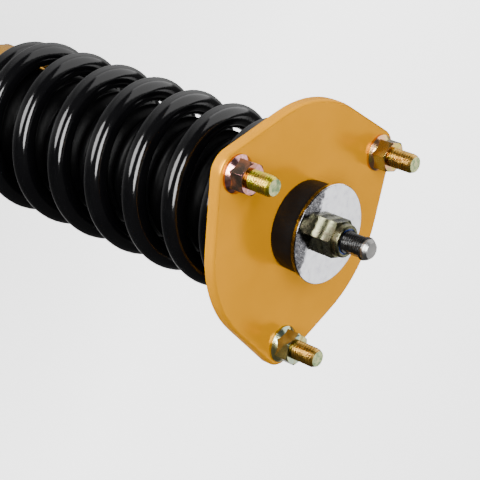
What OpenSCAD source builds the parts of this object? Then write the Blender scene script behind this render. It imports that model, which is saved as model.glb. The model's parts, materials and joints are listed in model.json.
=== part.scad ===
// Height-adjustable strut coilover with a rubber-bushed three-stud top mount.
// Origin: centre of the lower fork's bolt bore. +Z runs up the damper axis to the rod tip.
// The fork's bolt runs along X, and one mounting stud points along -Y.

/* [Overall] */
// Height of the top plate's upper face above the lower bolt
plate_top_z = 440; // [436:1:446]
// Height of the lower tube's foot above the lower bolt
tube_foot_z = 46; // [42:1:50]
// Running clearance on a radius, between pieces that slide or turn
run_gap = 0.06; // [0.03:0.01:0.1]
// Gap left between a soft piece and what it rests on
soft_gap = 0.3; // [0.2:0.05:0.4]

/* [Lower fork] */
// Width over the two ears
fork_width = 68; // [64:1:76]
// Thickness of the bent plate
fork_wall = 6; // [5:0.5:8]
// Depth of the ears from front to back
fork_depth = 42; // [36:1:48]
// Outside radius of the two bends
fork_bend_r = 11; // [8:1:14]
// Diameter of the bolt bore through both ears
fork_bore_d = 12.5; // [10.5:0.5:14.5]
// Diameter of the drain hole in the fork's base
drain_d = 12; // [8:1:14]

/* [Lower tube] */
// Wall of the lower tube
tube_wall = 3.24; // [2.5:0.02:4]
// Length of the lower tube
tube_len = 110; // [104:1:114]
// Thickness of the closed foot
tube_foot = 6; // [5:0.5:8]
// Radius of the rounded shoulder above the foot
shoulder_r = 7; // [5:0.5:9]
// Width of the rolled groove above the shoulder
groove_w = 3; // [2:0.5:4]
// Depth of the rolled groove
groove_depth = 1; // [0.5:0.1:1.4]

/* [Lock rings] */
// Outside diameter of a lock ring
ring_d = 72; // [70:0.5:74]
// Height of a lock ring
ring_h = 12; // [11:0.5:12]
// Number of spanner notches round a ring
ring_notches = 8; // [6:1:10]
// Width of a spanner notch
notch_w = 9; // [7:0.5:11]
// Depth of a spanner notch
notch_depth = 3.4; // [2.5:0.1:4]
// Chamfer on the edges of a ring
ring_chamfer = 0.8; // [0.4:0.1:1.2]

/* [Damper body] */
// Outside diameter of the threaded body
body_d = 53; // [52:0.1:53.4]
// Wall of the threaded body
body_wall = 3.5; // [3:0.1:4]
// Height of the body's lower end above the lower bolt
body_foot_z = 84; // [80:1:88]
// Length of the threaded body
body_len = 206; // [204:1:208]
// Thickness of the body's base cap
base_cap_h = 10; // [8:0.5:12]

/* [Spring] */
// Diameter of the spring wire
wire_d = 12.5; // [12:0.1:12.8]
// Mean diameter of the coils
coil_d = 80.4; // [79.4:0.2:81.4]
// Distance from the top plate's upper face down to the spring perch's seat
seat_drop = 211.3; // [209.3:0.5:214.3]
// Turns that are open, without the closed and easing turns of the ends
open_turns = 5.66; // [5.3:0.02:5.8]
// Closed turns at the lower end
closed_turns = 1.15; // [1:0.05:1.2]
// Closed turns at the upper end
top_turns = 0.5; // [0.4:0.05:0.8]
// Gap between the closed turns
closed_gap = 0.5; // [0.5:0.1:0.8]
// Direction of the wire's lower end round the axis, in degrees
spring_start = 190; // [0:0.5:359]
// Distance the lower end is drawn in on a radius, to sit on the perch
end_draw = 2.6; // [0:0.1:3]

/* [Spring perch] */
// Outside diameter of the perch
perch_d = 76; // [75:0.5:80]
// Height of the perch below its seat
perch_h = 14; // [13:0.5:14.5]
// Height of the spigot that centres the spring
spigot_h = 5; // [4:0.5:8]
// Clearance on a radius between the spring and what centres it
spigot_gap = 0.8; // [0.5:0.1:1.2]

/* [Damper internals] */
// Diameter of the piston rod
rod_d = 20; // [18:0.5:22]
// Height of the rod guide
guide_h = 16; // [12:0.5:18]
// Height of the rod seal
seal_h = 4; // [3:0.5:5]
// Height of the gland cap's lip above the body
gland_lip = 3; // [2:0.5:4]
// Height of the damper piston
piston_h = 12; // [10:0.5:14]
// Gap between the rod guide and the piston at full extension
rebound_gap = 6; // [4:0.5:8]
// Height of the shim stack
shim_h = 2; // [1.5:0.5:3]
// Height of the piston nut
piston_nut_h = 7; // [6:0.5:8]
// Height of the gas piston
gas_piston_h = 14; // [12:0.5:16]
// Distance from the body's lower end up to the gas piston
gas_space = 62; // [58:1:64]

/* [Top mount] */
// Thickness of the top plate
plate_t = 6; // [5:0.5:7]
// Radius of the top plate's round part
plate_r = 63; // [60:0.5:66]
// Radius of each stud lobe
lobe_r = 12; // [11:0.5:14]
// Pitch circle diameter of the studs
stud_pcd = 126; // [122:1:130]
// Diameter of the studs
stud_d = 10; // [8:0.5:10]
// Length of the studs above the plate
stud_len = 23.5; // [20:0.5:28]
// Length of the studs' chamfered point
stud_point = 2; // [1:0.1:3]
// Diameter of the studs' heads under the plate
stud_head_d = 17; // [15:0.5:19]
// Thickness of the studs' heads
stud_head_t = 3.5; // [3:0.5:5]
// Width across the flats of the flange nuts
nut_af = 15; // [14:0.5:16]
// Height of the flange nuts
nut_h = 10; // [8:0.5:11]
// Diameter of the flange nuts' flange
nut_flange_d = 19.2; // [18.5:0.1:21]
// Diameter of the rubber bushes
bush_d = 46.3; // [42:0.1:48]
// Height of each rubber bush
bush_h = 15.1; // [13:0.1:17]
// Diameter of the top washer
washer_d = 51; // [49:0.5:56]
// Thickness of the washers
washer_t = 2.4; // [2:0.1:3]
// Diameter of the rod's threaded end
rod_end_d = 12; // [11:0.5:12]
// Height of the rod's tip above the top plate
rod_tip = 44.2; // [42:0.2:48]
// Length of the rod's smooth point
rod_point = 3; // [2:0.5:6]
// Width across the flats of the rod nut
rod_nut_af = 18; // [17:0.5:19]
// Height of the rod nut's hexagon
rod_nut_h = 8.5; // [7:0.5:10]
// Height of the rod nut's collar
rod_collar_h = 3.5; // [3:0.5:5]
// Outside diameter of the bush sleeve
sleeve_d = 18; // [16:0.5:20]
// Amount the upper spring seat stands out past the coils, on a radius
seat_margin = 0.05; // [0:0.05:1.5]
// Thickness of the spring isolator
isolator_t = 2.5; // [2:0.5:3]
// Chamfer round the top plate's upper edge
plate_chamfer = 1; // [0.5:0.1:2]
// Thickness of the upper spring seat's flange
seat_t = 2; // [1.5:0.5:3]

/* [Bump stop and boot] */
// Length of the bump stop
bump_len = 42; // [38:1:44]
// Diameter of the bump stop at its widest
bump_d = 38; // [34:1:38]
// Gap on a radius between the dust boot's folds and the spring
fold_gap = 1.4; // [0.8:0.1:2.5]
// Gap on a radius between the body and the boot's folds
boot_gap = 0.5; // [0.4:0.1:1]
// Wall of the dust boot
boot_wall = 1.8; // [1.5:0.1:2.2]
// Folds of the dust boot
boot_folds = 13; // [10:1:14]
// Gap between the perch's spigot and the boot's lower collar
boot_lift = 2.3; // [1.3:0.1:20]
// Length of the boot's lower collar on the body
boot_collar = 10; // [8:0.5:12]

/* [Hidden] */
$fn = 96;
eps = 0.01;
gold = [0.80, 0.58, 0.20];
zinc = [0.78, 0.72, 0.50];
steel = [0.70, 0.71, 0.73];
black = [0.06, 0.06, 0.07];
rubber = [0.10, 0.10, 0.10];

stud_angles = [-90, 30, 150];
nut_turns = [12, 0, 24];

tube_top_z = tube_foot_z + tube_len;
tube_bore = body_d + 2 * run_gap;
tube_d = tube_bore + 2 * tube_wall;
body_bore = body_d - 2 * body_wall;
body_top_z = body_foot_z + body_len;
seat_z = plate_top_z - seat_drop;
perch_foot_z = seat_z - perch_h;
perch_ring_z = perch_foot_z - ring_h - soft_gap;
ring_bore = body_d + 2 * run_gap;

plate_foot_z = plate_top_z - plate_t;
washer_z = plate_top_z + bush_h;
rod_nut_z = washer_z + washer_t;
lower_bush_z = plate_foot_z - bush_h;
shoulder_z = lower_bush_z - washer_t;
rod_tip_z = plate_top_z + rod_tip;
collar_top_z = rod_nut_z + rod_nut_h + rod_collar_h;
thread_clear = 0.05;

seat_flange_z = plate_foot_z - seat_t;
spring_top_z = seat_flange_z - isolator_t - soft_gap;
spring_in_r = coil_d / 2 - wire_d / 2;
seat_d = coil_d + wire_d + 2 * seat_margin;
spigot_r = spring_in_r - spigot_gap;
perch_spigot_r = spigot_r - end_draw;
spigot_wall = 3;

guide_z = body_top_z - guide_h - seal_h - 4;
seal_z = guide_z + guide_h;
gland_z = seal_z + seal_h;
piston_z = guide_z - rebound_gap - piston_h;
shim_z = piston_z - shim_h;
piston_nut_z = shim_z - piston_nut_h;
rod_foot_z = piston_nut_z - 2;
piston_stem_d = rod_d * 0.6;
gas_piston_z = body_foot_z + gas_space;

boot_d = 2 * (spring_in_r - fold_gap);
boot_foot_z = seat_z + spigot_h + boot_lift + boot_collar;
boot_top_z = shoulder_z - soft_gap;
boot_flange_t = 2.5;

// ---------- shared shapes ----------

// Points of an arc about (x, y) from angle a to angle b
function arc(x, y, r, a, b, n) =
    [for (i = [0:n]) let (t = a + (b - a) * i / n) [x + r * cos(t), y + r * sin(t)]];

// A plain ring from height z
module ring(outer_d, inner_d, z, h) {
    translate([0, 0, z])
        difference() {
            cylinder(d = outer_d, h = h);
            translate([0, 0, -eps])
                cylinder(d = inner_d, h = h + 2 * eps);
        }
}

// A ring with both outer edges chamfered
module chamfered_ring(outer_d, inner_d, z, h, c) {
    translate([0, 0, z])
        rotate_extrude()
            polygon([
                [inner_d / 2, 0],
                [outer_d / 2 - c, 0],
                [outer_d / 2, c],
                [outer_d / 2, h - c],
                [outer_d / 2 - c, h],
                [inner_d / 2, h]
            ]);
}

// Spanner notches cut into a rim, from height z up
module notches(rim_d, z, h, turn) {
    for (i = [0:ring_notches - 1])
        rotate([0, 0, turn + i * 360 / ring_notches])
            translate([rim_d / 2 - notch_depth, -notch_w / 2, z])
                cube([notch_depth * 2, notch_w, h]);
}

// A castellated lock ring: the notches of its lower half stand between those of its upper half
module lock_ring(z) {
    difference() {
        chamfered_ring(ring_d, ring_bore, z, ring_h, ring_chamfer);
        notches(ring_d, z + ring_h / 2, ring_h, 0);
        notches(ring_d, z - ring_h / 2, ring_h, 180 / ring_notches);
    }
}

// A hexagonal prism with its upper corners chamfered, from height z
module hex_head(af, z, h) {
    corner = af / cos(30) / 2;
    intersection() {
        translate([0, 0, z])
            cylinder(r = corner, h = h, $fn = 6);
        translate([0, 0, z])
            rotate_extrude()
                polygon([
                    [0, 0],
                    [corner + 1, 0],
                    [corner + 1, h - (corner + 1 - af / 2) * 0.58],
                    [af / 2, h],
                    [0, h]
                ]);
    }
}

// ---------- lower bracket ----------

// Outline of the bent plate seen along Y, with its bends at the top
module u_outline(half_w, top, foot, r) {
    union() {
        translate([-half_w, foot])
            square([2 * half_w, top - r - foot]);
        translate([-half_w + r, foot])
            square([2 * half_w - 2 * r, top - foot]);
        for (s = [-1, 1])
            translate([s * (half_w - r), top - r])
                circle(r = r);
    }
}

module lower_fork() {
    half_w = fork_width / 2;
    inner_w = half_w - fork_wall;
    foot = -fork_depth / 2;
    color(black)
        difference() {
            intersection() {
                rotate([90, 0, 0])
                    linear_extrude(height = fork_depth + 2, center = true)
                        difference() {
                            u_outline(half_w, tube_foot_z, foot - 1, fork_bend_r);
                            u_outline(inner_w, tube_foot_z - fork_wall, foot - 2,
                                fork_bend_r - fork_wall);
                        }
                union() {
                    rotate([0, 90, 0])
                        cylinder(d = fork_depth, h = fork_width + 2, center = true);
                    translate([-half_w - 1, -fork_depth / 2, 0])
                        cube([fork_width + 2, fork_depth, tube_foot_z + 1]);
                }
            }
            rotate([0, 90, 0])
                cylinder(d = fork_bore_d, h = fork_width + 4, center = true);
            translate([0, 0, tube_foot_z - fork_wall - 1])
                cylinder(d = drain_d, h = fork_wall + 2);
        }
}

module lower_tube() {
    r = tube_d / 2;
    groove_z = shoulder_r + 4;
    color(black)
        translate([0, 0, tube_foot_z])
            rotate_extrude()
                polygon(concat(
                    [[drain_d / 2, 0]],
                    arc(r - shoulder_r, shoulder_r, shoulder_r, -90, 0, 6),
                    [
                        [r, groove_z],
                        [r - groove_depth, groove_z + groove_w / 3],
                        [r - groove_depth, groove_z + groove_w * 2 / 3],
                        [r, groove_z + groove_w],
                        [r, tube_len - 1],
                        [r - 1, tube_len],
                        [tube_bore / 2, tube_len],
                        [tube_bore / 2, tube_foot],
                        [drain_d / 2, tube_foot]
                    ]));
}

module tube_lock_ring() {
    color(gold)
        lock_ring(tube_top_z);
}

// ---------- damper body ----------

module threaded_body() {
    color([0.16, 0.16, 0.17])
        chamfered_ring(body_d, body_bore, body_foot_z, body_len, 1);
}

module base_cap() {
    color(steel)
        chamfered_ring(body_bore - 2 * run_gap, 6, body_foot_z, base_cap_h, 1);
}

module rod_guide() {
    color([0.55, 0.56, 0.58])
        chamfered_ring(body_bore - 2 * run_gap, rod_d + 2 * run_gap, guide_z, guide_h, 1);
}

module rod_seal() {
    color(rubber)
        ring(body_bore - 2 * run_gap, rod_d + 2 * run_gap, seal_z, seal_h);
}

module gland_cap() {
    color([0.20, 0.20, 0.21])
        translate([0, 0, gland_z])
            rotate_extrude()
                polygon([
                    [rod_d / 2 + run_gap, 0],
                    [body_bore / 2 - run_gap, 0],
                    [body_bore / 2 - run_gap, body_top_z - gland_z],
                    [body_d / 2 - 1, body_top_z - gland_z],
                    [body_d / 2 - 1, body_top_z - gland_z + gland_lip - 1],
                    [body_d / 2 - 2, body_top_z - gland_z + gland_lip],
                    [rod_d / 2 + run_gap, body_top_z - gland_z + gland_lip]
                ]);
}

module gas_piston() {
    groove_h = 4;
    r = body_bore / 2 - run_gap;
    color([0.75, 0.76, 0.78])
        translate([0, 0, gas_piston_z])
            rotate_extrude()
                polygon([
                    [0, 3],
                    [r - 7, 3],
                    [r - 6, 0],
                    [r - 1, 0],
                    [r, 1],
                    [r, gas_piston_h / 2 - groove_h / 2],
                    [r - 3, gas_piston_h / 2 - groove_h / 2],
                    [r - 3, gas_piston_h / 2 + groove_h / 2],
                    [r, gas_piston_h / 2 + groove_h / 2],
                    [r, gas_piston_h - 1],
                    [r - 1, gas_piston_h],
                    [0, gas_piston_h]
                ]);
}

module gas_piston_seal() {
    section = 2.7;
    color(rubber)
        translate([0, 0, gas_piston_z + gas_piston_h / 2])
            rotate_extrude()
                translate([body_bore / 2 - run_gap - section / 2, 0])
                    circle(d = section);
}

// ---------- spring perch ----------

module perch_lock_ring() {
    color(gold)
        lock_ring(perch_ring_z);
}

module spring_perch() {
    r = perch_d / 2;
    c = ring_chamfer;
    color(gold)
        difference() {
            translate([0, 0, perch_foot_z])
                rotate_extrude()
                    polygon([
                        [ring_bore / 2, 0],
                        [r - c, 0],
                        [r, c],
                        [r, perch_h - c],
                        [r - c, perch_h],
                        [perch_spigot_r, perch_h],
                        [perch_spigot_r, perch_h + spigot_h - 1],
                        [perch_spigot_r - 1, perch_h + spigot_h],
                        [ring_bore / 2, perch_h + spigot_h]
                    ]);
            notches(perch_d, perch_foot_z - 1, perch_h - 3, 180 / ring_notches);
        }
}

// ---------- coil spring ----------

closed_pitch = wire_d + closed_gap;
ease_turns = 0.25;
spring_turns = closed_turns + top_turns + 2 * ease_turns + open_turns;
spring_foot_z = seat_z + soft_gap + wire_d / 2;
spring_rise = spring_top_z - wire_d / 2 - spring_foot_z;
open_pitch = (spring_rise - closed_pitch * (closed_turns + top_turns + ease_turns))
    / (open_turns + ease_turns);
rings_per_turn = 24;
spring_rings = round(spring_turns * rings_per_turn);
wire_sides = 8;

// Height gained after t turns from one end: closed for so many turns, easing out, then open
function climb(t, closed) =
    let (
        a = min(t, closed),
        b = max(0, min(t - closed, ease_turns)),
        c = max(0, t - closed - ease_turns)
    )
    closed_pitch * (a + b) + (open_pitch - closed_pitch) * b * b / (2 * ease_turns)
        + open_pitch * c;

// Height of the wire's centre after t turns
function spring_z(t) =
    t < spring_turns / 2 ? spring_foot_z + climb(t, closed_turns)
        : spring_foot_z + spring_rise - climb(spring_turns - t, top_turns);

// Radius of the wire's centre after t turns, drawn in over the lower closed turn
function spring_r(t) =
    let (u = min(1, max(0, (t - 0.4) / (closed_turns - 0.4))))
    coil_d / 2 - end_draw * (1 - u * u * (3 - 2 * u));

function spring_point(t) =
    let (a = spring_start + 360 * t)
    [spring_r(t) * cos(a), spring_r(t) * sin(a), spring_z(t)];

// One ring of the wire's section, square to the coil
function wire_ring(t) =
    let (
        a = spring_start + 360 * t,
        p = spring_point(t),
        q = spring_point(t + 0.002) - spring_point(t - 0.002),
        out = [cos(a), sin(a), 0],
        up = cross(q, out) / norm(q)
    )
    [for (k = [0:wire_sides - 1])
        let (s = 360 * (k + 0.5) / wire_sides)
        p + wire_d / 2 * (cos(s) * out - sin(s) * up)];

// Least clear distance from the wire to its own next turn, on points a turn apart or more
spring_gap = min([
    for (i = [0:4:spring_rings - rings_per_turn])
        for (j = [i + rings_per_turn - 3:min(i + rings_per_turn + 3, spring_rings)])
            norm(spring_point(i * spring_turns / spring_rings)
                - spring_point(j * spring_turns / spring_rings)) - wire_d
]);
echo(str("least gap of the spring to itself, mm: ", spring_gap));  // coil_spring

module coil_spring() {
    m = wire_sides;
    n = spring_rings;
    points = [
        for (i = [0:n])
            for (p = wire_ring(i * spring_turns / n))
                p
    ];
    sides = [
        for (i = [0:n - 1])
            for (k = [0:m - 1])
                let (a = i * m + k, b = i * m + (k + 1) % m)
                    for (f = [[a, b, a + m], [b, b + m, a + m]])
                        f
    ];
    foot = [for (k = [1:m - 2]) [0, k + 1, k]];
    head = [for (k = [1:m - 2]) [n * m, n * m + k, n * m + k + 1]];
    color(black)
        polyhedron(points = points, faces = concat(sides, foot, head), convexity = 20);
}

// ---------- rod and piston ----------

module piston_rod() {
    flat = rod_end_d * 0.8;
    flats_foot_z = collar_top_z + 1;
    tip_z = rod_tip_z - rod_point;
    nut_core_d = rod_end_d - 1;
    color(steel)
        difference() {
            rotate_extrude()
                polygon([
                    [0, rod_foot_z],
                    [piston_stem_d / 2 - 1, rod_foot_z],
                    [piston_stem_d / 2 - 0.5, rod_foot_z + 1],
                    [piston_stem_d / 2 - 0.5, shim_z],
                    [piston_stem_d / 2, shim_z],
                    [piston_stem_d / 2, piston_z + piston_h],
                    [rod_d / 2, piston_z + piston_h],
                    [rod_d / 2, shoulder_z],
                    [rod_end_d / 2, shoulder_z],
                    [rod_end_d / 2, rod_nut_z],
                    [nut_core_d / 2, rod_nut_z],
                    [nut_core_d / 2, collar_top_z],
                    [rod_end_d / 2 - 0.1, collar_top_z],
                    [rod_end_d / 2 - 0.1, tip_z],
                    [rod_end_d / 2 - 0.55, tip_z],
                    [rod_end_d / 2 - 0.55, rod_tip_z - 1],
                    [rod_end_d / 2 - 1.5, rod_tip_z],
                    [0, rod_tip_z]
                ]);
            for (s = [0, 180])
                rotate([0, 0, s])
                    translate([flat / 2, -rod_end_d, flats_foot_z])
                        cube([rod_end_d, 2 * rod_end_d, tip_z - 1 - flats_foot_z]);
        }
}

module damper_piston() {
    ports = 6;
    port_d = 3.5;
    color([0.60, 0.52, 0.32])
        difference() {
            translate([0, 0, piston_z])
                rotate_extrude()
                    polygon([
                        [piston_stem_d / 2 + thread_clear, 0],
                        [body_bore / 2 - 1.5, 0],
                        [body_bore / 2 - 0.5, 1],
                        [body_bore / 2 - 0.5, 2],
                        [body_bore / 2 - 2, 2],
                        [body_bore / 2 - 2, piston_h - 2],
                        [body_bore / 2 - 0.5, piston_h - 2],
                        [body_bore / 2 - 0.5, piston_h - 1],
                        [body_bore / 2 - 1.5, piston_h],
                        [piston_stem_d / 2 + thread_clear, piston_h]
                    ]);
            for (i = [0:ports - 1])
                rotate([0, 0, i * 360 / ports])
                    translate([body_bore * 0.32, 0, piston_z - 1])
                        cylinder(d = port_d, h = piston_h + 2, $fn = 24);
        }
}

module piston_band() {
    color([0.25, 0.22, 0.20])
        ring(body_bore - 2 * run_gap, body_bore - 4 + 2 * thread_clear, piston_z + 2 + thread_clear,
            piston_h - 4 - 2 * thread_clear);
}

module shim_stack() {
    shims = 3;
    t = shim_h / shims;
    color(steel)
        for (i = [0:shims - 1])
            ring(body_bore * 0.48 + i * 3, piston_stem_d + 2 * thread_clear,
                shim_z + i * t, t - thread_clear);
}

module piston_nut() {
    color(steel)
        difference() {
            translate([0, 0, piston_nut_z])
                cylinder(r = piston_stem_d / 2 + 5, h = piston_nut_h, $fn = 6);
            translate([0, 0, piston_nut_z - 1])
                cylinder(d = piston_stem_d - 1 + 2 * thread_clear, h = piston_nut_h + 2);
        }
}

// ---------- bump stop and boot ----------

module bump_stop() {
    inner = rod_d / 2 + soft_gap;
    outer = bump_d / 2;
    foot = shoulder_z - bump_len;
    step = bump_len / 3;
    color([0.75, 0.68, 0.50])
        translate([0, 0, foot])
            rotate_extrude()
                polygon(concat(
                    [[inner, 0], [inner + 2.5, 0]],
                    arc(outer - 6.5, step * 0.5, 4.2, -60, 60, 5),
                    arc(outer - 4.6, step * 1.5, 4.6, -60, 60, 5),
                    [
                        [outer - 2, step * 2],
                        [outer, step * 2.3],
                        [outer, bump_len - 2],
                        [outer - 2, bump_len],
                        [inner, bump_len]
                    ]));
}

module dust_boot() {
    out_r = boot_d / 2;
    in_r = body_d / 2 + boot_gap;
    collar_in = body_d / 2 + soft_gap;
    collar_foot = boot_foot_z - boot_collar;
    fold_h = (boot_top_z - boot_flange_t - boot_foot_z) / boot_folds;
    flange_in = bump_d / 2 + soft_gap;
    outside = [
        for (i = [0:boot_folds - 1])
            for (p = [
                [in_r + boot_wall, boot_foot_z + i * fold_h + fold_h * 0.08],
                [out_r - 0.8, boot_foot_z + i * fold_h + fold_h * 0.42],
                [out_r, boot_foot_z + i * fold_h + fold_h * 0.5],
                [out_r - 0.8, boot_foot_z + i * fold_h + fold_h * 0.58]
            ])
                p
    ];
    inside = [
        for (i = [boot_folds - 1:-1:0])
            for (p = [
                [in_r, boot_foot_z + i * fold_h + fold_h],
                [out_r - boot_wall, boot_foot_z + i * fold_h + fold_h * 0.5]
            ])
                p
    ];
    color(rubber)
        rotate_extrude()
            polygon(concat(
                [
                    [collar_in, collar_foot],
                    [collar_in + boot_wall + 0.6, collar_foot],
                    [collar_in + boot_wall + 0.6, boot_foot_z]
                ],
                outside,
                [
                    [in_r + boot_wall, boot_top_z - boot_flange_t],
                    [in_r + boot_wall + 2, boot_top_z - boot_flange_t],
                    [in_r + boot_wall + 2, boot_top_z],
                    [flange_in, boot_top_z],
                    [flange_in, boot_top_z - boot_flange_t]
                ],
                inside,
                [
                    [in_r, boot_foot_z],
                    [collar_in, boot_foot_z]
                ]));
}

// ---------- top mount ----------

module lower_washer() {
    color(zinc)
        chamfered_ring(bush_d + 1, rod_end_d + 2 * run_gap, shoulder_z, washer_t, 0.4);
}

module bush_sleeve() {
    color(steel)
        ring(sleeve_d, rod_end_d + 2 * run_gap, lower_bush_z, washer_z - lower_bush_z);
}

module lower_bush() {
    r = bush_d / 2;
    color(rubber)
        translate([0, 0, lower_bush_z])
            rotate_extrude()
                polygon([
                    [sleeve_d / 2 + run_gap, 0],
                    [r - 0.8, 0],
                    [r, 0.8],
                    [r, bush_h - 0.8],
                    [r - 0.8, bush_h],
                    [sleeve_d / 2 + run_gap, bush_h]
                ]);
}

bush_spigot_d = sleeve_d + 10;

module upper_bush() {
    r = bush_d / 2;
    color(rubber)
        translate([0, 0, plate_top_z])
            rotate_extrude()
                polygon([
                    [sleeve_d / 2 + run_gap, -plate_t],
                    [bush_spigot_d / 2, -plate_t],
                    [bush_spigot_d / 2, 0],
                    [r - 0.5, 0],
                    [r, 0.5],
                    [r, bush_h - 0.5],
                    [r - 0.5, bush_h],
                    [sleeve_d / 2 + run_gap, bush_h]
                ]);
}

module top_washer() {
    color([0.82, 0.83, 0.86])
        chamfered_ring(washer_d, rod_end_d + 2 * run_gap, washer_z, washer_t, 0.3);
}

insert_h = rod_collar_h - 0.8;

module rod_nut() {
    collar_r = rod_nut_af / 2 - 0.6;
    mouth = rod_end_d / 2 + 0.6;
    color(zinc)
        difference() {
            union() {
                hex_head(rod_nut_af, rod_nut_z, rod_nut_h);
                translate([0, 0, rod_nut_z + rod_nut_h - eps])
                    rotate_extrude()
                        polygon(concat(
                            [[0, 0], [collar_r, 0]],
                            arc(collar_r - 1.2, rod_collar_h + eps - 1.2, 1.2, 0, 90, 5),
                            [[0, rod_collar_h + eps]]
                        ));
            }
            translate([0, 0, rod_nut_z - 1])
                cylinder(d = rod_end_d - 1 + 2 * thread_clear, h = rod_nut_h + rod_collar_h + 2);
            translate([0, 0, rod_nut_z + rod_nut_h])
                cylinder(r = mouth + 1, h = insert_h);
            translate([0, 0, rod_nut_z + rod_nut_h])
                cylinder(r = mouth, h = rod_collar_h + 1);
        }
}

module nylon_insert() {
    color([0.12, 0.25, 0.70])
        ring(rod_end_d + 3.2, rod_end_d - 1 + 2 * thread_clear, rod_nut_z + rod_nut_h, insert_h);
}

// One third of the top plate's outline, from one stud's lobe to the next, moved in by inset
function plate_third(a, inset) =
    let (
        d = stud_pcd / 2,
        b = acos((plate_r - lobe_r) / d),
        lobe = arc(d * cos(a), d * sin(a), lobe_r - inset, a - b, a + b, 10),
        rim = arc(0, 0, plate_r - inset, a + b, a + 120 - b, 10)
    )
    concat(lobe, rim);

// The top plate's outline at height z, moved in by inset
function plate_loop(z, inset) =
    [for (a = stud_angles) for (p = plate_third(a, inset)) [p[0], p[1], z]];

// The top plate without its holes, with its upper edge chamfered
module plate_blank() {
    loops = [
        plate_loop(0, 0),
        plate_loop(plate_t - plate_chamfer, 0),
        plate_loop(plate_t, plate_chamfer)
    ];
    n = len(loops[0]);
    walls = [
        for (i = [0:1])
            for (k = [0:n - 1])
                let (a = i * n + k, b = i * n + (k + 1) % n)
                    [a, a + n, b + n, b]
    ];
    foot = [[for (k = [0:n - 1]) k]];
    head = [[for (k = [n - 1:-1:0]) 2 * n + k]];
    polyhedron(points = concat(loops[0], loops[1], loops[2]), faces = concat(walls, foot, head));
}

stud_shank_d = stud_d + 1;

module top_plate() {
    color(gold)
        difference() {
            translate([0, 0, plate_foot_z])
                plate_blank();
            translate([0, 0, plate_foot_z - 1])
                cylinder(d = bush_spigot_d + 2 * run_gap, h = plate_t + 2);
            for (a = stud_angles)
                rotate([0, 0, a])
                    translate([stud_pcd / 2, 0, plate_foot_z - 1])
                        cylinder(d = stud_shank_d + 2 * run_gap, h = plate_t + 2);
        }
}

module stud_bolts() {
    core = stud_d / 2 - 0.5;
    tip = plate_top_z + stud_len;
    color(zinc)
        for (a = stud_angles)
            rotate([0, 0, a])
                translate([stud_pcd / 2, 0, 0])
                    rotate_extrude()
                        polygon([
                            [0, plate_foot_z - stud_head_t],
                            [stud_head_d / 2 - 1, plate_foot_z - stud_head_t],
                            [stud_head_d / 2, plate_foot_z - stud_head_t + 1],
                            [stud_head_d / 2, plate_foot_z],
                            [stud_shank_d / 2, plate_foot_z],
                            [stud_shank_d / 2, plate_top_z],
                            [core, plate_top_z],
                            [core, plate_top_z + nut_h + 0.1],
                            [stud_d / 2, plate_top_z + nut_h + 0.1],
                            [stud_d / 2, tip - stud_point],
                            [stud_d / 2 - 0.9, tip],
                            [0, tip]
                        ]);
}

module flange_nuts() {
    r = nut_flange_d / 2;
    color(zinc)
        for (i = [0:2])
            rotate([0, 0, stud_angles[i]])
                translate([stud_pcd / 2, 0, plate_top_z])
                    difference() {
                        union() {
                            rotate_extrude()
                                polygon([
                                    [0, 0],
                                    [r, 0],
                                    [r, 1.2],
                                    [nut_af / 2, 3.2],
                                    [0, 3.2]
                                ]);
                            rotate([0, 0, nut_turns[i]])
                                hex_head(nut_af, 1, nut_h - 1);
                        }
                        translate([0, 0, -1])
                            cylinder(d = stud_d - 1 + 2 * thread_clear, h = nut_h + 2);
                    }
}

module upper_spring_seat() {
    in_r = bush_d / 2 + 3;
    out_r = seat_d / 2;
    spigot_foot = spring_top_z - spigot_h;
    color(black)
        rotate_extrude()
            polygon([
                [in_r, plate_foot_z],
                [in_r, seat_flange_z],
                [spigot_r - spigot_wall, seat_flange_z],
                [spigot_r - spigot_wall, spigot_foot],
                [spigot_r - 1, spigot_foot],
                [spigot_r, spigot_foot + 1],
                [spigot_r, seat_flange_z],
                [out_r, seat_flange_z],
                [out_r, plate_foot_z - 0.5],
                [out_r - 0.5, plate_foot_z]
            ]);
}

module spring_isolator() {
    color(rubber)
        chamfered_ring(seat_d - 2, 2 * spigot_r + 2 * soft_gap, seat_flange_z - isolator_t,
            isolator_t, 0.8);
}

lower_fork();
lower_tube();
tube_lock_ring();
threaded_body();
base_cap();
rod_guide();
rod_seal();
gland_cap();
gas_piston();
gas_piston_seal();
perch_lock_ring();
spring_perch();
coil_spring();
dust_boot();
piston_rod();
damper_piston();
piston_band();
shim_stack();
piston_nut();
bump_stop();
lower_washer();
lower_bush();
bush_sleeve();
upper_bush();
top_washer();
rod_nut();
nylon_insert();
top_plate();
stud_bolts();
flange_nuts();
upper_spring_seat();
spring_isolator();
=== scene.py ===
import json
import math

import bmesh
import bpy
import numpy as np
from mathutils import Matrix, Vector


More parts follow.
